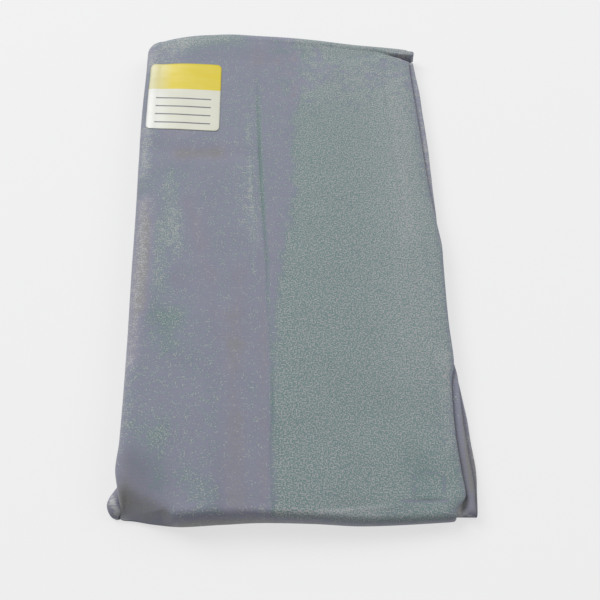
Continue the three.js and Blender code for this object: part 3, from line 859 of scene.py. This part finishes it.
# %% A socket in an expression
class Value:
    """A socket of a material's node tree that can be used in an expression."""

    def __init__(self, finish, socket):
        self.finish, self.socket = finish, socket

    def _math(self, operation, *values):
        return self.finish.node("ShaderNodeMath", {"operation": operation}, dict(enumerate(values)))

    def __add__(self, other):
        return self._math("ADD", self, other)

    def __sub__(self, other):
        return self._math("SUBTRACT", self, other)

    def __rsub__(self, other):
        return self._math("SUBTRACT", other, self)

    def __mul__(self, other):
        return self._math("MULTIPLY", self, other)

    def sine(self):
        return self._math("SINE", self)

    def over(self, level):
        return self._math("GREATER_THAN", self, level)

    def size(self):
        return self._math("ABSOLUTE", self)

    def clamped(self):
        return self.finish.node("ShaderNodeClamp", inputs={0: self})


print("sockets can be added, subtracted and multiplied")


# %% A material under construction
class Finish:
    """A material, and short ways to add what it needs."""

    def __init__(self, name):
        self.material = bpy.data.materials.new(name)
        self.material.use_nodes = True
        self.tree = self.material.node_tree
        self.shader = self.tree.nodes["Principled BSDF"]

    def node(self, kind, settings=None, inputs=None, output=0):
        """Adds a node, sets it up, fills its inputs with numbers or links, and wraps one output."""
        made = self.tree.nodes.new(kind)
        for key, value in (settings or {}).items():
            setattr(made, key, value)
        for key, value in (inputs or {}).items():
            self.feed(made.inputs[key], value)
        return Value(self, made.outputs[output])

    def feed(self, socket, value):
        """Links a wrapped value to a socket, or sets the socket to a plain one."""
        if isinstance(value, Value):
            self.tree.links.new(value.socket, socket)
        else:
            socket.default_value = value

    def set_shader(self, inputs):
        """Feeds the shader's own inputs, given by their names."""
        for key, value in inputs.items():
            self.feed(self.shader.inputs[key], value)

    def cloth_place(self):
        """The place on the flat cloth, in metres: the whole of it, the part across and the part along."""
        place = self.node("ShaderNodeUVMap", {"uv_map": "cloth"})
        across = self.node("ShaderNodeSeparateXYZ", inputs={0: place})
        return place, across, Value(self, across.socket.node.outputs[1])

    def noise(self, place, scale, detail):
        """A noise about 0.5, in cells of about 1 / `scale` metres."""
        return self.node("ShaderNodeTexNoise", inputs={"Vector": place, "Scale": scale, "Detail": detail})

    def attribute(self, name):
        """A number that is stored on the cloth."""
        return self.node("ShaderNodeAttribute", {"attribute_name": name}, output=2)

    def mix(self, share, first, second):
        """A colour between two colours."""
        return self.node("ShaderNodeMix", {"data_type": "RGBA"}, {0: share, 6: first, 7: second}, output=2)


print("a finish can add", [name for name in vars(Finish) if not name.startswith("_")])

# %% [markdown]
# ## Stage and light
# The stage is a pale table, a wide soft light from the far left, a weaker one from the far right, as from
# two windows, and an even, dim room. The table glows a little by itself, as a light table does, which
# keeps the shadow under the pack faint. A room can shed one light and show another: the Light Path node
# tells them apart, so here the cloth is lit by a dim room while the camera sees a pale wall behind it.

# %% Table
TABLE_SIZE = 60
TABLE_GREY, TABLE_GLOW = 0.16, 0.66
WHITE = (1, 1, 1, 1)

bpy.context.scene.view_settings.view_transform = "Standard"
bpy.ops.object.select_all(action="DESELECT")
bpy.ops.mesh.primitive_plane_add(size=TABLE_SIZE)
table_top = bpy.context.object
table_top.name = table_top.data.name = "table_top"
pale = Finish("pale_table")
pale.set_shader({
    "Base Color": (TABLE_GREY, TABLE_GREY, TABLE_GREY, 1), "Roughness": 0.9, "Specular IOR Level": 0.1,
    "Emission Color": WHITE, "Emission Strength": TABLE_GLOW,
})
table_top.data.materials.append(pale.material)
print("table", TABLE_SIZE, "m wide")

# %% Windows
WINDOW_DISTANCE, WINDOW_SIZE = 2.4, 1.4


def window(name, azimuth, elevation, power):
    """An area light that looks at the pack from a direction, in degrees from +X and above the table."""
    around, up = math.radians(azimuth), math.radians(elevation)
    way = Vector((math.cos(around) * math.cos(up), math.sin(around) * math.cos(up), math.sin(up)))
    bpy.ops.object.light_add(type="AREA", location=way * WINDOW_DISTANCE)
    lamp = bpy.context.object
    lamp.name = lamp.data.name = name
    lamp.data.size, lamp.data.energy = WINDOW_SIZE, power
    lamp.rotation_euler = way.to_track_quat("Z", "Y").to_euler()
    print(name, power, "W from", azimuth, "degrees")


window("window_light", azimuth=140, elevation=48, power=56)
window("second_window", azimuth=30, elevation=40, power=24)

# %% Room
COOL_WHITE = (0.95, 0.97, 1, 1)
ROOM_LIGHT, WALL_LIGHT = 0.36, 0.72

room = bpy.data.worlds.new("room")
room.use_nodes = True
nodes, links = room.node_tree.nodes, room.node_tree.links
dim_room, pale_wall = nodes["Background"], nodes.new("ShaderNodeBackground")
for shade, colour, strength in ((dim_room, COOL_WHITE, ROOM_LIGHT), (pale_wall, WHITE, WALL_LIGHT)):
    shade.inputs["Color"].default_value = colour
    shade.inputs["Strength"].default_value = strength
seen_or_felt = nodes.new("ShaderNodeMixShader")
links.new(nodes.new("ShaderNodeLightPath").outputs["Is Camera Ray"], seen_or_felt.inputs[0])
links.new(dim_room.outputs[0], seen_or_felt.inputs[1])
links.new(pale_wall.outputs[0], seen_or_felt.inputs[2])
links.new(seen_or_felt.outputs[0], nodes["World Output"].inputs["Surface"])
bpy.context.scene.world = room
print("room sheds", ROOM_LIGHT, "and shows", WALL_LIGHT)

# %% [markdown]
# ## Fine jersey
# Cotton jersey is a matte cloth with very fine columns of loops. Its relief is small, so a bump is enough
# for the ribs of the knit, and a sheen gives the soft glow of loose fibres at grazing angles. The colour
# asks for more. A grey melange is spun from fibres dyed in different greys, so one flat grey would look
# like plastic even from a step away. Here each place has a base grey, and pale flecks lie over it. Two
# numbers steer them, which are stored on the cloth further on: `tone` picks the base grey, and `light`
# makes the flecks denser and the whole place paler.
# `light` is mostly painted light and shade, with some pale and dark patches of the cloth itself.

# %% Greys of the jersey
LILAC = (0.198, 0.200, 0.256, 1)
SAGE = (0.133, 0.197, 0.195, 1)
NEUTRAL = (0.198, 0.197, 0.182, 1)
FLECK = (0.285, 0.285, 0.287, 1)
print("greys, mean of each", [round(sum(grey[:3]) / 3, 3) for grey in (LILAC, SAGE, NEUTRAL, FLECK)])

# %% Jersey
WALE, COURSE, COURSE_SLANT = 0.00085, 0.00062, 0.5
FIBRE_SCALE, THREAD_SCALE, BLOTCH_SCALE, CLOUD_SCALE = 1350.0, 1100.0, 300.0, 60.0
STRETCH = (0.22, 1, 1)
BLOTCH_TONE, THREAD_TONE = 1.5, 1.4
NEUTRAL_TONE, FIBRE_TONE = -1.2, 3.0
PATCHINESS, PATCHY_BELOW = 7.0, 1.15
FLECK_CONTRAST, FLECK_LIGHT, FLECK_SAGE, FLECK_LEVEL = 14.0, 7.5, 2.1, 2.0
SHADE, SHADE_LIGHT, SHADE_GRAIN, SHADE_CLOUDS = 0.96, 0.6, 0.2, 0.10
LOOP_RELIEF, RIB_RELIEF, FIBRE_RELIEF, THREAD_RELIEF = 0.25, 0.5, 0.8, 0.6


def jersey_colour(finish, fibres, threads, blotches, clouds):
    """The base grey by `tone` (-1 neutral, 0 lilac, 1 sage), under flecks that `light` makes denser."""
    tone, light = finish.attribute("tone"), finish.attribute("light")
    fibre, thread, blotch, cloud = (noise - 0.5 for noise in (fibres, threads, blotches, clouds))
    local = (tone + blotch * BLOTCH_TONE + thread * THREAD_TONE).clamped()
    warm = (tone * NEUTRAL_TONE + fibre * FIBRE_TONE).clamped()
    patchy = blotch * (PATCHY_BELOW - local) * PATCHINESS
    flecks = fibre * FLECK_CONTRAST + patchy + light * FLECK_LIGHT + local * FLECK_SAGE - FLECK_LEVEL
    colour = finish.mix(flecks.clamped(), finish.mix(local, finish.mix(warm, LILAC, NEUTRAL), SAGE), FLECK)
    # `light` also scales the whole colour: this is where painted light and shade reach the cloth.
    shade = light * SHADE_LIGHT + SHADE + fibre * SHADE_GRAIN + thread * SHADE_GRAIN + cloud * SHADE_CLOUDS
    return finish.node("ShaderNodeVectorMath", {"operation": "SCALE"}, {0: colour, "Scale": shade})


def jersey(name):
    """The knit's finish: a melange of greys, fine ribs in relief, and a faint sheen."""
    finish = Finish(name)
    place, across, along = finish.cloth_place()
    ribs = (across * (math.pi / WALE)).sine().size()
    loops = ((along + ribs * (COURSE_SLANT * COURSE)) * (2 * math.pi / COURSE)).sine()
    stretched = finish.node("ShaderNodeVectorMath", {"operation": "MULTIPLY"}, {0: place, 1: STRETCH})
    fibres = finish.noise(place, FIBRE_SCALE, detail=1.0)
    threads = finish.noise(stretched, THREAD_SCALE, detail=3.0)
    blotches = finish.noise(place, BLOTCH_SCALE, detail=3.0)
    clouds = finish.noise(place, CLOUD_SCALE, detail=4.0)
    height = ribs * (loops * LOOP_RELIEF + RIB_RELIEF) + fibres * FIBRE_RELIEF + threads * THREAD_RELIEF
    relief = {"Strength": 0.4, "Distance": 0.0002, "Height": height}
    finish.set_shader({
        "Base Color": jersey_colour(finish, fibres, threads, blotches, clouds),
        "Normal": finish.node("ShaderNodeBump", inputs=relief),
        "Roughness": 0.88, "Specular IOR Level": 0.25,
        "Sheen Weight": 0.3, "Sheen Roughness": 0.4, "Sheen Tint": COOL_WHITE,
    })
    print(name, "nodes", len(finish.tree.nodes))
    return finish.material


grey_jersey = jersey("grey_jersey")

# %% [markdown]
# ## Where the grey changes
# The cloth isn't one grey. Its spine side leans to lilac and its open side to a green grey, with a soft
# curved border between. Painted light and shade lie on top: the shoulder of the spine, which faces the
# window, gets a painted highlight, the creases get painted shade, and the ends are more neutral. An image
# could hold all that, but a table of soft strokes stays sharp at any size and can be read. One row is one
# stroke: where it starts and ends, how wide it is, and what it adds to `tone` and to `light`.

# %% Border of the two greys, and the strokes on the upper leg
TONE_BORDER = table(
    "y x",
    (-150, -8.5), (-90, -10.5), (-60, -10.2), (-30, -8.6), (-12, -5.6), (4, -4.0), (20, 0.0), (45, 1.0),
    (62, 0.0), (90, 0.5), (110, 2.5), (150, 4.0),
)
# The `light` column is mostly painted light and shade: painted highlights on the spine's shoulder, which
# faces the window, in the far valley and in the gap beside the ear, and painted shade at the near left
# corner and in the nicks at the near right. Along both folds it paints both. Some rows are pale or dark
# patches of the cloth itself.
PATCHES = table(
    "x0 y0 x1 y1 width tone light",
    (-87, 124, -87, -105, 5, 0.25, 0.00),
    (-87, 80, -87, 48, 4, 0.00, 0.20),
    (-85, 27, -86, -66, 4.5, -0.85, 0.24),
    (-81, 14, -81, -38, 3.5, -0.55, 0.06),
    (-87, -70, -89, -124, 4, 0.00, 0.15),
    (-71, 45, -68, 5, 5, 0.40, 0.05),
    (-75, 12, -73, -24, 5, 0.50, 0.05),
    (-66, 20, -63, -6, 3.5, 0.20, 0.07),
    (-75, -40, -62, -44, 6, 0.50, -0.04),
    (-68, -48, -66, -60, 6, 0.45, -0.06),
    (-76, 52, -34, 50, 11, 0.00, -0.04),
    (-60, 133, -10, 135, 8, 0.00, -0.06),
    (-67, -106, -66, -134, 5, 0.45, 0.00),
    (-54, -130, -40, -142, 6, 0.38, 0.00),
    (-80, -104, -72, -110, 5, 0.30, 0.00),
    (-34, 62, -24, 8, 7, 0.10, 0.06),
    (-38, -56, -30, -130, 5, 0.12, 0.00),
    (-80, 146, 30, 148, 8, 0.45, 0.04),
    (26, 119, 70, 128, 20, -0.58, 0.06),
    (7, 106, 14, 136, 8, -0.50, 0.03),
    (60, 138.5, 66, 137.0, 2, -0.40, 0.16),
    (66, 137.0, 78, 136.0, 3, -0.50, 0.22),
    (36, 146, 74, 141.8, 2.5, 0.00, 0.10),
    (-80, 132, -72, 142, 11, 0.12, 0.10),
    (-89, 140, -89, 126, 4, -0.20, 0.19),
    (-84, 134, -74, 137, 7, 0.00, 0.04),
    (-6, 145, 12, 144, 2, 0.00, 0.06),
    (-68, 142, -44, 147, 4.5, 0.45, 0.03),
    (-24, 146, -4, 144, 5, -0.30, 0.00),
    (76, -120, 72, 118, 4, -0.25, 0.00),
    (70, -60, 66, 90, 26, 0.00, 0.05),
    (62, 120, 64, 10, 5, 0.00, 0.04),
    (-83, -121, -70, -134, 8.5, -0.12, -0.24),
    (-88, -112, -86, -124, 4, 0.00, 0.05),
    (-87, -137, -86, -146, 2.5, 0.00, 0.06),
    (-87, -141, -86, -148, 1.6, -0.40, 0.30),
    (-84, -139, -72, -145, 7, -0.60, -0.12),
    (-84, -120, -84, -150, 4, -0.30, 0.00),
    (-63, -147, -62, -153, 2.5, -0.50, -0.20),
    (-66, 60, -46, 60, 5, -0.75, -0.03),
    (-74, 75, -62, 75, 4, -0.35, 0.00),
    (-52, -10, -44, -18, 4, -0.35, 0.00),
    (-38, -55, -26, -61, 4, -0.32, 0.00),
    (-27, -100, -24, -146, 4.5, -0.32, 0.00),
    (-40, 60, -30, 59, 5, -0.25, 0.00),
    (-60, 28, -50, -2, 5, -0.30, 0.00),
    (-62, -24, -44, -26, 5, -0.28, 0.00),
    (-48, -36, -36, -44, 5, -0.28, 0.00),
    (-29, -16, -31, -50, 5, -0.35, -0.02),
    (-32, -62, -31, -142, 5.5, -0.48, -0.02),
    (-15, 14, -14, -144, 4, -0.35, 0.00),
    (-22, 142, -22, 128, 6, -0.45, 0.00),
    (-64, -118, -58, -140, 5, -0.20, 0.00),
    (-60, -152, 84, -151, 2.5, -0.40, 0.06),
    (-58, -144.8, -8, -145.6, 1.6, 0.00, 0.07),
    (-25, -147, 40, -147.5, 2, 0.00, 0.09),
    (12, -147.0, 45, -143.8, 0.9, 0.10, 0.10),
    (10, -148, 60, -146, 2.5, -0.30, 0.00),
    (80, -62, 80, -112, 3, -0.10, 0.08),
    (63, -120, 66, -136, 7, 0.10, -0.05),
    (63, -126.5, 72, -126.5, 0.9, -0.90, -0.07),
    (60, -128, 60, -138, 0.9, -0.90, -0.07),
    (75, -128, 75, -136, 0.9, -0.90, -0.07),
    (54, -140.7, 76, -140.4, 1, -1.00, -0.08),
)
print("strokes on the upper leg", len(PATCHES["x0"]))

# %% Strokes on the layers that show at the edges
# The first three rows paint a highlight along the top of the ear.
EDGE_PATCHES = table(
    "x0 y0 x1 y1 width tone light",
    (-92.0, -136.5, -87.6, -143.5, 1.7, 0.00, 0.42),
    (-90.0, -133.0, -88.0, -143.5, 2.5, 0.00, 0.12),
    (-90.6, -140.5, -88.7, -143.8, 2.2, 0.00, 0.40),
    (87.4, -92, 89.6, -134, 1.1, -0.65, 0.05),
    (91.5, -92, 93.0, -138, 1.0, -0.50, 0.02),
)
print("strokes on the layers at the edges", len(EDGE_PATCHES["x0"]))

# %% [markdown]
# The two numbers are worked out once for every vertex and stored as attributes, which the finish reads.
# That ties them to the cloth itself, so they stay in place from every side.
# On the upper leg the border, the creases, a faint mottle and the strokes add up. What hangs down over a
# side or is folded under fades towards lilac, and at the near end towards the neutral grey.

# %% Tone and lightness of the upper leg
LILAC_TONE, SAGE_STEP, OVERALL_TONE, TONE_LIMITS = 0.14, 1.06, 0.06, (-1, 1.3)
BORDER_HALF, BORDER_WAVE, BORDER_CELL = 4.5, 2.5, 7
CREASE_TONE = table(
    "y tone", (-150, 0.0), (-90, 0.3), (-50, 0.5), (0, 0.75), (60, 0.8), (90, 0.7), (110, 0.1),
)
CREASE_TONE_WIDTH, CREASE_SHADE, CREASE_SHADE_WIDTH = 1.5, 0.34, 1.0
ECHO_TONE, ECHO_PAINTED_HIGHLIGHT, ECHO_SHADE_WIDTH = 1.4, 0.30, 2.0
MOTTLE, MOTTLE_CELLS = 0.10, (13, 9)
FAR_MOTTLE, FAR_MOTTLE_CELLS, FAR_MOTTLE_Y, FAR_MOTTLE_X = 0.55, (5.0, 3.4), (72, 106), (-22, -4)
RIM_FADE, RIM_WIDTH = 0.75, 3.2
SIDE_FADE, SIDE_BELOW = 0.7, (0.5, 4.0)
NEAR_FADE, NEAR_BELOW, NEAR_Y = 0.7, (4, 8), (-138, -146)


def leg_shades(x, y, z):
    """Tone and lightness on the upper leg, and on what shows of the inner layers."""
    crease = x - follow(CREASE, "x", y)
    echo = follow(CREASE_ECHO, "height", y) * bump(crease - ECHO_OFF, ECHO_SHADE_WIDTH)
    border = x - follow(TONE_BORDER, "x", y)
    border += BORDER_WAVE * soft_noise(x, y, BORDER_CELL, BORDER_CELL, seed=41)
    tone = LILAC_TONE + SAGE_STEP * ease(-BORDER_HALF, BORDER_HALF, border) + strokes(x, y, PATCHES, "tone")
    tone += follow(CREASE_TONE, "tone", y) * bump(crease, CREASE_TONE_WIDTH) + ECHO_TONE * echo
    far_mottle = FAR_MOTTLE * ease(*FAR_MOTTLE_Y, y) * ease(*FAR_MOTTLE_X, x)
    tone += far_mottle * soft_noise(x, y, *FAR_MOTTLE_CELLS, seed=43)
    tone = np.clip(tone + MOTTLE * soft_noise(x, y, *MOTTLE_CELLS, seed=42), *TONE_LIMITS)
    below = top_height(np.minimum(x, follow(COVER_EDGE, "x", y)), y) - z
    rim = 1 - RIM_FADE * bump(follow(COVER_EDGE, "x", y) - x, RIM_WIDTH)
    tone = tone * rim * (1 - SIDE_FADE * ease(*SIDE_BELOW, below)) + OVERALL_TONE
    tone -= NEAR_FADE * ease(*NEAR_BELOW, below) * ease(*NEAR_Y, y)
    # Painted shade darkens the crease's groove, and a painted highlight lightens the ridge beside it.
    crease_painted_shade = CREASE_SHADE * follow(CREASE, "depth", y) * bump(crease, CREASE_SHADE_WIDTH)
    return tone, strokes(x, y, PATCHES, "light") - crease_painted_shade + ECHO_PAINTED_HIGHLIGHT * echo


print("tone from", LILAC_TONE, "to", round(LILAC_TONE + SAGE_STEP, 2), "across the border")

# %% [markdown]
# The layers at the open edge lie in the shade of the upper leg, so they have a rule of their own. They
# are lilac and more neutral towards the near end, where painted shade makes them darker, and the opening
# at the near right corner has a painted glow where light falls in. A painted highlight runs along the ear.

# %% Tone and lightness of the layers at the edges
EDGE_TONE, EDGE_NEAR_TONE, EDGE_TONE_Y = 0.12, 0.3, (-90, -120)
EDGE_LIGHT, EDGE_SHADE, UNDER_SHADE_Y, MIDDLE_SHADE_Y = 0.14, 0.30, (-122, -140), (-60, -130)
LAYERS_PART = 4.5
PALE_SPAN, PALE_SPAN_Y, PALE_SPAN_HALF = 0.10, 64, 26
OPENING_GLOW, OPENING_Y, OPENING_Z = 0.95, (-130, -135), (9, 7)
OPENING_LEFT, OPENING_RIGHT = (80, 82), (90.5, 88)
OPENING_DIMMED, OPENING_DIM_Y, OPENING_DIM_X = 0.6, (-140, -143), (83, 87)


def edge_shades(x, y, z):
    """Tone and lightness on the layers that show at the open edge and on the ear."""
    tone = EDGE_TONE - EDGE_NEAR_TONE * ease(*EDGE_TONE_Y, y) + strokes(x, y, EDGE_PATCHES, "tone")
    # Painted shade: the layers darken towards the near end, where the upper leg shades them, and a span of
    # their far half is painted paler.
    in_shade = np.where(z > LAYERS_PART, ease(*MIDDLE_SHADE_Y, y), ease(*UNDER_SHADE_Y, y))
    light = EDGE_LIGHT - EDGE_SHADE * in_shade + PALE_SPAN * bump(y - PALE_SPAN_Y, PALE_SPAN_HALF)
    # Painted light: a glow where light falls into the opening at the near right corner, dimmed at its near
    # end.
    glow = ease(*OPENING_Y, y) * (1 - OPENING_DIMMED * ease(*OPENING_DIM_Y, y) * ease(*OPENING_DIM_X, x))
    light += OPENING_GLOW * glow * ease(*OPENING_RIGHT, x) * ease(*OPENING_LEFT, x) * ease(*OPENING_Z, z)
    return tone, light + strokes(x, y, EDGE_PATCHES, "light")


print("layers at the edges: lightness", EDGE_LIGHT, "in the open, less by", EDGE_SHADE, "in the shade")


# %% Paint each cloth
def paint(cloth, shades):
    """Stores the tone and the lightness of each vertex, and gives the cloth its finish."""
    mesh = cloth.data
    points = np.empty(len(mesh.vertices) * 3)
    mesh.vertices.foreach_get("co", points)
    tone, light = shades(*(points.reshape(-1, 3).T / MM))
    for name, values in (("tone", tone), ("light", light)):
        mesh.attributes.new(name, "FLOAT", "POINT").data.foreach_set("value", values)
    mesh.materials.clear()
    mesh.materials.append(grey_jersey)
    print(cloth.name, "mean tone", round(float(tone.mean()), 2), "lightness", round(float(light.mean()), 2))


paint(upper_leg, leg_shades)
paint(lower_leg, edge_shades)
paint(middle_fold, edge_shades)
paint(inner_layers, leg_shades)

# %% [markdown]
# ## Coated paper
# The label is coated paper: a yellow band over cream, with plain ruled lines to write on and no words.
# Paper is smooth enough to catch the window, so its left side, which leans that way, looks washed out.
# Besides the coat's own shine, that glare is painted into the paper's colour, paler towards the left.

# %% Label finish
YELLOW, YELLOW_IN_GLARE = (0.50, 0.40, 0.006, 1), (0.49, 0.475, 0.31, 1)
CREAM, CREAM_IN_GLARE = (0.48, 0.48, 0.40, 1), (0.58, 0.58, 0.56, 1)
RULE_INK = (0.10, 0.10, 0.12, 1)
GLARE_FALLOFF = 3.0
BAND_FROM = 0.60
RULES, RULE_WIDTH, RULE_MARGIN = (0.09, 0.21, 0.33, 0.45), 0.018, 0.12


def label_paper():
    """Cream paper with a yellow band and a few ruled lines, washed out on the left by painted glare."""
    finish = Finish("label_paper")
    _, across, up = finish.cloth_place()
    across, up = across * (1 / (STICKER_WIDTH * MM)), up * (1 / (STICKER_HEIGHT * MM))
    # Painted glare: the paper's colour is washed out towards its left edge, which faces the window.
    painted_glare = (across * -GLARE_FALLOFF + 1.0).clamped()
    yellow, cream = finish.mix(painted_glare, YELLOW, YELLOW_IN_GLARE), finish.mix(painted_glare, CREAM, CREAM_IN_GLARE)
    colour = finish.mix(up.over(BAND_FROM), cream, yellow)
    lines = 0
    for rule in RULES:
        lines = up.over(rule) * (1 - up.over(rule + RULE_WIDTH)) + lines
    inside = across.over(RULE_MARGIN) * (1 - across.over(1 - RULE_MARGIN))
    finish.set_shader({
        "Base Color": finish.mix(lines * inside, colour, RULE_INK),
        "Roughness": 0.5, "Coat Weight": 0.3, "Coat Roughness": 0.38,
    })
    return finish.material


size_label.data.materials.clear()
size_label.data.materials.append(label_paper())
print("label lines", len(RULES))

# %% [markdown]
# ## Which solid each cloth stands for
# Each piece rides on the part's only body and stands for its solid.

for piece, node, finish_slot in (
    (upper_leg, "cover_leg", "knit_grey"),
    (lower_leg, "under_leg", "knit_grey"),
    (middle_fold, "middle_fold", "knit_grey"),
    (inner_layers, "hidden_layers", "knit_grey"),
    (size_label, "size_sticker", "sticker_paper"),
):
    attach(piece, "root")
    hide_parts(node)
    print(piece.name, "stands for", node)
